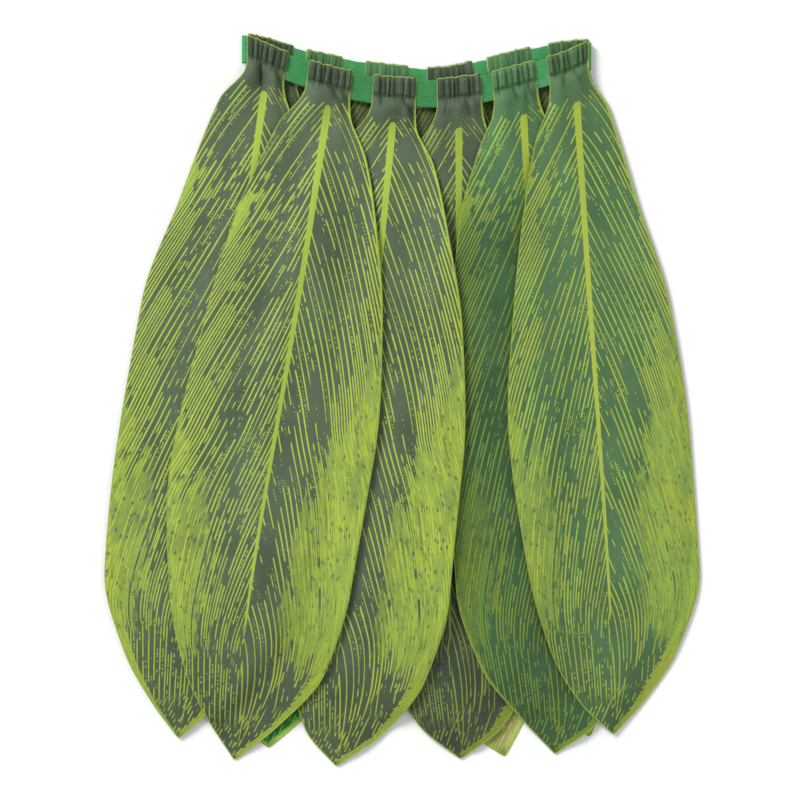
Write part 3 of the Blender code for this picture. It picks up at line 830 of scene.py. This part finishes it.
def bladeZ(one, x, y):
    # every leaf under this one adds its own layer, over a ramp just outside its edge
    depth = bandDepth(one["side"], x, y)
    lay = np.full_like(x, layers["wall"] / 2)
    folds = np.zeros_like(x)
    for lower in stack:
        share, across, outside = locate(lower, x, y)
        cover = 1.0 - smooth((outside - layers["rampMargin"]) / layers["ramp"])
        if lower["side"] == one["side"] == "front":
            folds += foldHeight(lower, across, bandDepth("front", x, y)) * cover
        if lower is one:
            lay += loftHeight(one, share, across)
            break
        lay += cover * (layers["pitch"] + loftHeight(lower, share, across))
    front = one["side"] == "front"
    outer = band["tapeFrontZ"] + band["tapeToCloth"] if front else band["tapeBackZ"] - band["tapeToCloth"]
    settled = smooth((depth - layers["settleStart"]) / layers["settleLength"][one["side"]])
    z = outer + (lay - outer) * settled + folds
    if front:
        z += waveHeight(x, y) * settled
    return z


# one leaf's cloth: a grid from the inner flap, over the tape, down the blade to the tip

leafCloth = {
    "columns": 98,
    "bladeRows": 150,
    "backColumns": 80,
    "backBladeRows": 70,
    "thick": 0.35,
    "pleats": 7,
    "pleatHeight": 3.4,
    "backPleatHeight": 1.3,
    "valley": 0.85,
    "pleatFade": 2.4,
    "puff": 2.2,
    "hemRadius": 0.42,
    "hemStep": 2.2,
    "hemClear": 0.04,
    "stitchLength": 2.3,
    "stitchGap": 0.9,
    "stitchRadius": 0.24,
    "threadRadius": 0.46,
    "threadLift": 0.15,
    "flatShare": 0.78,
}


def pleatShape(one, across, depth):
    # round ridges and sharp valleys: the size of a sine to a power. The pleats are unlike in width
    # and height, and drift a little sideways down the casing
    seed = one["casingX"] * 0.37
    place = (across + 1.0) / 2.0
    ends = np.sin(np.pi * place)
    uneven = 0.050 * np.sin(7.0 * place + seed) + 0.022 * np.sin(15.0 * place + 2.3 * seed)
    place = place + (uneven + 0.012 * np.sin(depth / 5.0 + 17.0 * place + seed)) * ends
    turns = leafCloth["pleats"] * place
    wave = np.abs(np.sin(np.pi * turns)) ** 0.5
    height = 0.66 + 0.34 * np.sin(2.6 * np.floor(turns + 1e-6) + 2.1 * seed)
    fine = 0.12 * np.abs(np.sin(2.7 * np.pi * turns + seed + depth / 9.0))
    return wave * height + fine * wave


def gatherHold(depth):
    # the gathers are drawn flat at the top edge, stand proud below it, and are pinched at the seam
    return 0.45 + 0.55 * smooth((depth + 0.5) / 3.5) - 0.72 * smooth((depth - 12.0) / 3.0)


def casingRows(one, across):
    # the path over the tape: up the inner side, round the top edge, down the outer side
    front = one["side"] == "front"
    tapeZ = band["tapeFrontZ"] if front else band["tapeBackZ"]
    outerSign = 1.0 if front else -1.0
    inner = np.linspace(band["innerFlap"], 0.0, 14)
    turn = np.linspace(0.0, np.pi, 11)[1:-1]
    outer = np.linspace(0.0, band["casingDepth"], 22)
    depth = np.concatenate((inner, -band["ruffle"] * np.sin(turn), outer))
    place = np.concatenate((np.full(len(inner), -1.0), -np.cos(turn), np.full(len(outer), 1.0)))
    x = one["casingX"] + across * one["casingHalf"]
    gridX, gridDepth = np.meshgrid(x, depth)
    gridAcross = np.repeat(across[None, :], len(depth), axis=0)
    ridge = pleatShape(one, gridAcross, gridDepth)
    up = smooth(place * outerSign * 1.2 + 0.3)[:, None]
    height = leafCloth["pleatHeight" if front else "backPleatHeight"]
    proud = up * gatherHold(gridDepth) * height * ridge
    scallop = 0.9 * (ridge - 0.5) * smooth((2.5 - gridDepth) / 4.0)
    rowX, rowY = bandPoint(one["side"], gridX, gridDepth - scallop)
    reach = np.where(place * outerSign > 0, leafCloth["valley"], band["tapeToCloth"])[:, None]
    z = tapeZ + outerSign * reach * place[:, None] + proud
    # painted shade and light: the casing is painted darker than the blade, darker still in the valleys
    # between the gathers, and lighter near the top fold
    shade = 0.62 * np.clip((ridge - 0.25) / 0.6, 0.0, 1.0) + 0.25 * smooth((2.0 - gridDepth) / 4.0)
    shade = shade + gatherLight[one["tone"]] - 0.04
    return np.stack((rowX, rowY, z), axis=-1), depth, place, np.clip(shade, 0.0, 1.0)


def bladeRows(one, across, share):
    # each row grows from the casing's width and place to the leaf's own
    top = seamY(one)
    length = top - one["tipY"]
    gridShare, gridAcross = np.meshgrid(share, across, indexing="ij")
    rib, left, right = section(one, gridShare)
    half = np.where(gridAcross < 0, left, right)
    x = rib + gridAcross * half
    run = gridShare * length
    y = top + tilt(one, x, gridShare) - run
    hung = one["casingX"] + gridAcross * one["casingHalf"]
    bandX, bandY = bandPoint(one["side"], hung, band["casingDepth"] + run)
    fanned = smooth(gridShare / layers["fanShare"][one["side"]])
    x = bandX + (x - bandX) * fanned
    y = bandY + (y - bandY) * fanned
    z = bladeZ(one, x, y)
    shade = np.ones_like(x)
    if one["side"] == "front":
        # below the seam the cloth starts low between the gathers, puffs out, and settles
        fade = np.exp(-run / leafCloth["pleatFade"])
        ridge = pleatShape(one, gridAcross, band["casingDepth"] + run)
        seamHold = gatherHold(np.array(band["casingDepth"]))
        z += (leafCloth["valley"] - band["tapeToCloth"]) * smooth(1.0 - run / 6.0)
        z += seamHold * leafCloth["pleatHeight"] * ridge * fade * (1.0 + 0.9 * smooth(run / 4.0))
        z += leafCloth["puff"] * smooth(run / 6.0) * (1.0 - smooth(run / 45.0)) * (1.0 - gridAcross**4)
        crease = creaseHeight(one, x, y)
        z += 1.5 * crease
        # painted shade: the cloth is darker along each crease, and in the gathers' valleys just below the
        # seam
        shade = 1.0 - 0.85 * np.clip(-crease / 1.7, 0.0, 1.0) - 0.9 * fade * np.clip(0.75 - ridge, 0.0, 1.0)
        # the cloth stays clear of the tape that it lies on
        clear = band["tapeFrontZ"] + leafCloth["valley"]
        z = np.where(bandDepth("front", x, y) < band["tapeWidth"] + 2.0, np.maximum(z, clear), z)
    return np.stack((x, y, z), axis=-1), gridShare, gridAcross, run, x - rib, half, np.clip(shade, 0.0, 1.0)


# the rib's half width in mm at shares of the length. It is less than nothing where the rib has ended
ribWidths = {
    "share": (0.0, 0.06, 0.12, 0.25, 0.38, 0.52, 0.68, 0.78, 0.825, 0.835, 1.0),
    "half": (2.7, 2.9, 2.6, 2.2, 1.9, 1.6, 1.3, 1.0, 0.6, -1.0, -1.0),
}

# how steeply veins leave the rib and how much they bend, by mm below the rib's top, and how far
# apart they leave it in mm
veins = {
    "from": (-60.0, 0.0, 40.0, 80.0, 120.0, 170.0, 250.0, 430.0),
    "steepRight": (0.60, 0.75, 1.25, 1.55, 1.95, 2.45, 2.95, 2.30),
    "steepLeft": (0.80, 0.95, 1.40, 2.00, 2.65, 3.30, 3.50, 2.70),
    "bendRight": (0.60, 1.00, 0.95, 0.95, 1.00, 0.90, 0.80, 0.90),
    "bendLeft": (0.30, 0.35, 0.35, 0.20, 0.15, 0.20, 0.30, 0.70),
    "gapRight": (8.8, 8.8, 9.6, 10.4, 11.2, 12.4, 13.5, 14.0),
    "gapLeft": (6.6, 6.8, 8.0, 9.0, 10.0, 11.2, 12.0, 12.0),
    "first": -500.0,
    "last": 600.0,
    "reach": 74.0,
    "hold": 0.80,
    "ease": 0.06,
}

# where the print is dense, and where it is nearly flat lime: each begins this far across, at these
# shares of the length. The spots are soft round patches where it is denser or busier: the side, 1 for
# the right, the share of the length and its width, the place across and its width, and how much
denseFrom = {
    "share": (0.0, 0.10, 0.18, 0.26, 0.35, 0.45, 0.55, 0.65, 0.75, 0.83, 0.865, 1.0),
    "right": (1.5, 1.15, 0.90, 0.74, 0.62, 0.48, 0.36, 0.30, 0.32, 0.42, 0.60, 0.80),
    "left": (1.5, 1.10, 0.72, 0.62, 0.58, 0.48, 0.48, 0.53, 0.55, 0.58, 1.30, 1.50),
}
fillFrom = {
    "share": (0.0, 0.38, 0.46, 0.52, 0.57, 0.63, 0.70, 0.78, 0.83, 0.87, 1.0),
    "right": (1.5, 0.98, 0.78, 0.62, 0.50, 0.42, 0.36, 0.36, 0.46, 0.70, 1.3),
    "left": (1.5, 1.45, 1.15, 0.88, 0.64, 0.56, 0.46, 0.42, 0.50, 1.20, 1.5),
}
denseSpots = (
    (0, 0.18, 0.05, 0.74, 0.22, 0.70),
    (1, 0.24, 0.07, 1.00, 0.16, 0.50),
    (0, 0.74, 0.07, 0.50, 0.22, 0.80),
)
busySpots = (
    (0, 0.36, 0.10, 0.38, 0.18, -0.08),
    (0, 0.46, 0.17, 0.66, 0.26, 0.14),
    (0, 0.60, 0.14, 0.30, 0.14, -0.10),
)


def veinNumbers(one, share, across, run, fromRib, half, printStart):
    # a vein that leaves the rib at v mm has run v plus s(v) times (a plus b(v) times a cubed) where
    # it is a widths from the rib, so v is solved for by halving. Its number is the sum of 1 over
    # the gap up to v
    length = seamY(one) - one["tipY"]
    right = across > 0
    spread = 72.0 * (0.62 + 0.38 * smooth(share / 0.5))
    spread = spread + (half - spread) * smooth((share - 0.5) / 0.12)
    away = np.abs(fromRib) / np.maximum(spread, 0.5)
    hold, ease = veins["hold"] * length, veins["ease"] * length
    held = np.where(run > hold, hold + ease * (1.0 - np.exp(-(run - hold) / ease)), run) - printStart
    low, high = np.full_like(run, veins["first"]), np.full_like(run, veins["last"])

    def onSide(key, at):
        return np.where(right, np.interp(at, veins["from"], veins[key + "Right"]),
                        np.interp(at, veins["from"], veins[key + "Left"]))

    for _ in range(24):
        middle = (low + high) / 2
        steep, bend = onSide("steep", middle), onSide("bend", middle)
        under = middle + steep * veins["reach"] * (away + bend * away**3) < held
        low, high = np.where(under, middle, low), np.where(under, high, middle)
    start = (low + high) / 2
    # veins leave the rib in bunches
    start = start + 3.5 * np.sin(start / 7.1 + 2.0 * right) * np.exp(-np.abs(fromRib) / 9.0) * (start > 0)
    place = np.arange(veins["first"], veins["last"] + 1.0)
    last = hold + ease - printStart
    number = np.empty_like(start)
    for part, gaps in ((right, "gapRight"), (~right, "gapLeft")):
        count = np.cumsum(1.0 / np.interp(place, veins["from"], veins[gaps]))
        whole = np.interp(last, place, count) - np.interp(0.0, place, count)
        count = 60.0 - (np.interp(last, place, count) - count) * np.round(whole) / whole
        number[part] = np.interp(start[part], place, count)
    return number, start


def linePitch(number, x, y):
    # mm from one whole number to the next: 1 over the slope of the number in plan, worked out on
    # each side of the rib by itself
    middle = number.shape[1] // 2
    pitch = np.empty_like(number)
    for part in (slice(0, middle), slice(middle, None)):
        nv, nu = np.gradient(number[:, part])
        xv, xu = np.gradient(x[:, part])
        yv, yu = np.gradient(y[:, part])
        area = xu * yv - xv * yu
        area = np.where(np.abs(area) < 1e-6, 1e-6, area)
        slope = np.hypot((nu * yv - nv * yu) / area, (nv * xu - nu * xv) / area)
        pitch[:, part] = 1.0 / np.maximum(slope, 0.08)
    return pitch


def printFields(one, gridShare, across, run, fromRib, half, points):
    printStart = 14.0 if one["printY"] is None else seamY(one) - one["printY"]
    share = np.clip(gridShare, 0.0, 1.0)
    size = np.abs(across)
    right = across > 0
    number, start = veinNumbers(one, share, across, run, fromRib, half, printStart)
    pitch = linePitch(number, points[..., 0], points[..., 1])

    def spot(atShare, wideShare, atSize, wideSize):
        # a soft round patch, as a bell of the share and the place across
        return np.exp(-(((share - atShare) / wideShare) ** 2) - ((size - atSize) / wideSize) ** 2)

    def beginning(table):
        return np.where(right, curve(share, table["share"], table["right"]),
                        curve(share, table["share"], table["left"]))

    ragged = 0.012 * np.sin(across * 31.0 + one["casingX"]) + 0.008 * np.sin(across * 73.0)
    ended = smooth((share - np.where(right, 0.845, 0.815) - ragged) / 0.05)
    dense = smooth((size - beginning(denseFrom)) / 0.42 + 0.30) * (1.0 - ended)
    for onRight, *where, amount in denseSpots:
        dense = np.maximum(dense, amount * spot(*where) * (right == onRight))
    full = smooth((size - beginning(fillFrom)) / 0.30 + 0.5) * (1.0 - ended)
    full = full * np.where(right, 0.90, 0.50 + 0.40 * smooth((size - 0.76) / 0.15))
    full = np.maximum(full, 0.42 * spot(0.75, 0.06, 0.52, 0.22) * ~right)

    busy = np.where(right, 0.67, 0.60) + 0.16 * np.exp(-((size / 0.24) ** 2))
    busy = busy + 0.08 * (1.0 - smooth(share / 0.2)) + 0.06 * ended + 0.12 * smooth((share - 0.26) / 0.16)
    for onRight, *where, amount in busySpots:
        busy = busy + amount * spot(*where) * (right == onRight)
    clear = smooth((share - 0.42) / 0.08) * (1.0 - smooth((share - 0.76) / 0.03))
    busy = busy - 0.55 * clear * smooth((0.20 - size) / 0.06) * right
    busy = np.maximum(busy, np.where(dense > 0.05, 0.46, 0.0) + 0.62 * dense)
    busy = busy - 0.30 * ended * spot(0.90, 0.05, 0.66, 0.16) * right
    # above the first vein on the right there are two long arches and nothing else
    arch = right & (start < -1.5)
    begins = np.where(start > -9.0, 0.02, 0.35)
    busy = np.where(arch, np.where((start > -22.0) & (size > begins), 0.95, -1.0), busy)
    dense = np.where(arch, 0.0, dense)
    ribEdge = np.abs(fromRib) - np.interp(share, ribWidths["share"], ribWidths["half"])
    ribEdge = ribEdge + 1.1 * (1.0 - smooth((run - printStart) / 6.0))
    ribEdge = np.where(run < printStart, 9.0, ribEdge)
    turn = np.gradient(half, axis=0) / np.gradient(run, axis=0)
    edge = (1.0 - size) * half / np.sqrt(1.0 + turn**2)
    edge = edge - one["rim"] * np.exp(-(((share - 0.82) / 0.12) ** 2)) * ~right
    place = np.stack((across, run - printStart, edge), axis=-1)
    vein = np.stack((number, run, pitch), axis=-1)
    tipDepth = ended + np.clip((share - 0.90) / 0.10, 0.0, 1.0)
    return place, vein, np.stack((dense, busy, ribEdge), axis=-1), full, tipDepth


def hemPath(edgePoints, lift):
    # points of an edge, evenly spaced by distance
    distance = distanceAlong(edgePoints)
    path = pointsAt(edgePoints, distance, np.arange(0.0, distance[-1], leafCloth["hemStep"]))
    path[:, 2] += lift
    return path


def stitchRow(points, lift):
    # short capsules laid end to end along a line of points, their ends sunk in the cloth
    distance = distanceAlong(points)
    pitch = leafCloth["stitchLength"] + leafCloth["stitchGap"]
    rings, sides = 5, 6
    shape = np.sin(np.linspace(0.0, np.pi, rings))
    tubes = []
    for start in np.arange(pitch / 2, distance[-1] - pitch / 2, pitch):
        path = pointsAt(points, distance, start + np.linspace(0.0, leafCloth["stitchLength"], rings))
        path[:, 2] += lift * shape + 0.08
        tubes.append(tubeAlong(path, leafCloth["stitchRadius"] * (0.35 + 0.65 * shape), sides))
    return np.array(tubes)


def tubesMesh(name, tubes, material):
    # many open tubes of rings and sides, each closed by a cap at both ends
    count, rings, sides = tubes.shape[:3]
    index = np.arange(count * rings * sides).reshape(count, rings, sides)
    around = np.roll(index, -1, axis=2)
    walls = np.stack((index[:, :-1], around[:, :-1], around[:, 1:], index[:, 1:]), axis=-1).reshape(-1, 4)
    quads = [(0, 1, 2, 3), (0, 3, 4, 5)]
    firstCaps = [index[:, 0][:, list(q)[::-1]] for q in quads]
    lastCaps = [index[:, -1][:, list(q)] for q in quads]
    faces = np.concatenate([walls] + firstCaps + lastCaps)
    return meshFromArrays(name, tubes.reshape(-1, 3), faces, material)


def sewLeaf(one, points, casing, casingPlace):
    # the hem all round. A thick edging shows beside some of the casings
    path = hemPath(np.concatenate((points[:, 0], points[::-1, -1])), 0.0)
    bumps = leafCloth["hemRadius"] * (1.0 + 0.14 * np.sin(np.arange(len(path)) * 2.4))
    thick = (path[:, 1] > seamY(one) + 1.0) & ((path[:, 0] - one["casingX"]) * one["edging"] > 0)
    bumps = bumps * (1.0 + 0.9 * thick)
    path[:, 2] = np.maximum(path[:, 2], bumps + leafCloth["hemClear"])
    hem = meshFromGrid(one["name"] + "_hem", tubeAlong(path, bumps, 5), limeThread, closedAcross=True)

    # a lime thread runs along the top fold, on the side that is seen, and a plain one closes the casing
    back = one["side"] == "back"
    seen = np.where(casingPlace < -0.99)[0][::-1] if back else np.where(casingPlace > 0.99)[0]
    topLine, bottomLine = casing[seen[0] + (2 if back else -2)], casing[seen[-2]]
    wiggle = np.zeros_like(topLine)
    wiggle[:, 1] = 0.3 * np.sin(topLine[:, 0] * 1.3) + 0.15 * np.sin(topLine[:, 0] * 2.9)
    thread = hemPath(topLine + wiggle, leafCloth["threadLift"])
    swell = leafCloth["threadRadius"] * (1.0 + 0.18 * np.sin(np.arange(len(thread)) * 1.7))
    top = meshFromGrid(one["name"] + "_topThread", tubeAlong(thread, swell, 8), limeThread, closedAcross=True)
    stitches = stitchRow(bottomLine, leafCloth["threadLift"])
    return [hem, top, tubesMesh(one["name"] + "_stitches", stitches, plainThread)]


def makeLeaf(one):
    back = one["side"] == "back"
    columns = leafCloth["backColumns" if back else "columns"]
    rows = leafCloth["backBladeRows" if back else "bladeRows"]
    across = np.linspace(-1.0, 1.0, columns)
    # rows close together near the seam and the tip
    even = np.linspace(0.0, 1.0, rows + 1)[1:]
    share = 0.9985 * (0.45 * even**2 + 0.55 * even) * (1.0 + 0.06 * np.sin(np.pi * even))
    casing, casingDepth, casingPlace, casingShade = casingRows(one, across)
    blade, gridShare, gridAcross, run, fromRib, half, bladeShade = bladeRows(one, across, share)
    printed = printFields(one, gridShare, gridAcross, run, fromRib, half, blade)
    place, vein, inks, full, tipDepth = printed

    # the casing is plain cloth: no vein and no rib reaches it
    flat = np.zeros_like(casingShade)
    casingRun = np.repeat((casingDepth * casingPlace - band["casingDepth"])[:, None], columns, axis=1)
    topAcross = np.repeat(across[None, :], len(casingDepth), axis=0)
    topPlace = np.stack((topAcross, casingRun - 60.0, (1 - np.abs(topAcross)) * one["casingHalf"]), axis=-1)
    topVein = np.stack((np.repeat(vein[:1, :, 0], len(casingDepth), axis=0), casingRun, flat + 4.0), axis=-1)
    topInks = np.stack((flat, flat - 1.0, flat + 9.0), axis=-1)
    # the fold field: the painted shade of the gathers and creases, how nearly flat lime the print is, and how
    # far down the tip zone
    folds = np.stack((np.concatenate((casingShade, bladeShade)), np.concatenate((flat, full)),
                      np.concatenate((flat, tipDepth))), axis=-1)
    points = np.concatenate((casing, blade))
    fields = {
        "leafPlace": np.concatenate((topPlace, place)),
        "veinField": np.concatenate((topVein, vein)),
        "printField": np.concatenate((topInks, inks)),
        "foldField": folds,
    }
    if back:
        points = points[:, ::-1]
        fields = {key: values[:, ::-1] for key, values in fields.items()}
    cloth = meshFromGrid(one["name"] + "_cloth", points, printedCloth[one["tone"]], fields)
    cloth.data.materials.append(wrongCloth[one["wrongTip"]])
    addWall(cloth, leafCloth["thick"]).material_offset = 1
    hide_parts(one["name"])
    slot = "green_leaf_cloth" if one["name"][-1] in "56" else "grey_green_leaf_cloth"
    attach(cloth)
    sewing = sewLeaf(one, points, casing, casingPlace)
    for sewn in sewing:
        attach(sewn)

    # the flat size is the widest place by the length of the cut
    length = seamY(one) - one["tipY"] + band["casingDepth"] + band["topTurn"] + band["innerFlap"]
    _, left, right = section(one, np.linspace(0.0, 1.0, 80))
    width = float(np.max(left + right))
    under = stack.index(one) - 1
    length * mm
    leafCloth["flatShare"] * width * length * mm * mm
    "studio_floor" if under < 0 else stack[under]["name"]
    return cloth


# painted light and shade on the tape: the front run's middle is painted dull, as in shade, and its ends and
# the back run are painted brighter
tapeLight = {
    "x": (-128.0, -115.0, -84.0, -30.0, 20.0, 70.0, 115.0),
    "front": (1.0, 0.9, 0.42, 0.16, 0.2, 0.5, 1.0),
    "back": 0.85,
}


def makeTape():
    # a flattened ring: the back run, a half turn, the front run, a half turn
    middle = (band["tapeFrontZ"] + band["tapeBackZ"]) / 2
    radius = (band["tapeFrontZ"] - band["tapeBackZ"]) / 2
    left = band["x"][0] + radius + 0.5
    right = band["x"][-1] - radius - 0.5
    run = np.linspace(left, right, 200)
    turn = np.linspace(-np.pi / 2, np.pi / 2, 15)[1:-1]
    x = np.concatenate((run, np.full(13, right), run[::-1], np.full(13, left)))
    out = np.concatenate((0 * run, radius * np.cos(turn), 0 * run, -radius * np.cos(turn)))
    z = np.concatenate((0 * run + band["tapeBackZ"], middle + radius * np.sin(turn),
                        0 * run + band["tapeFrontZ"], middle - radius * np.sin(turn)))
    isBack = np.arange(len(x)) < len(run)
    depth = np.linspace(0.0, band["tapeWidth"], 23)
    gridX, gridDepth = np.meshgrid(x, depth, indexing="ij")
    ruffled = gridDepth + 0.22 * np.sin(gridX / 2.1) * (1.0 - gridDepth / band["tapeWidth"])
    frontX, frontY = bandPoint("front", gridX, ruffled)
    backX, backY = bandPoint("back", gridX, ruffled)
    ends = smooth((gridX - left) / 14.0) * smooth((right - gridX) / 14.0) * isBack[:, None]
    points = np.stack((
        frontX + (backX - frontX) * isBack[:, None] + out[:, None],
        frontY + (backY - frontY) * ends,
        z[:, None] + 0.12 * np.sin(gridX / 3.3 + gridDepth / 6.0),
    ), axis=-1)
    step = np.linalg.norm(np.diff(points[:, 11], axis=0, append=points[:1, 11]), axis=1)
    along = np.repeat(np.cumsum(step)[:, None], len(depth), axis=1)
    light = np.where(isBack[:, None], tapeLight["back"], np.interp(gridX, tapeLight["x"], tapeLight["front"]))
    tapePlace = np.stack((along, gridDepth, light), axis=-1)
    tape = meshFromGrid("waist_tape", points, greenElastic, {"tapePlace": tapePlace}, closedAlong=True)
    addWall(tape, band["tapeThick"])
    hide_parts("waist_elastic")
    attach(tape)
    return tape


makeTape()
print("tape made")
for one in backLeaves + frontLeaves:
    makeLeaf(one)
    print("leaf made:", one["name"])
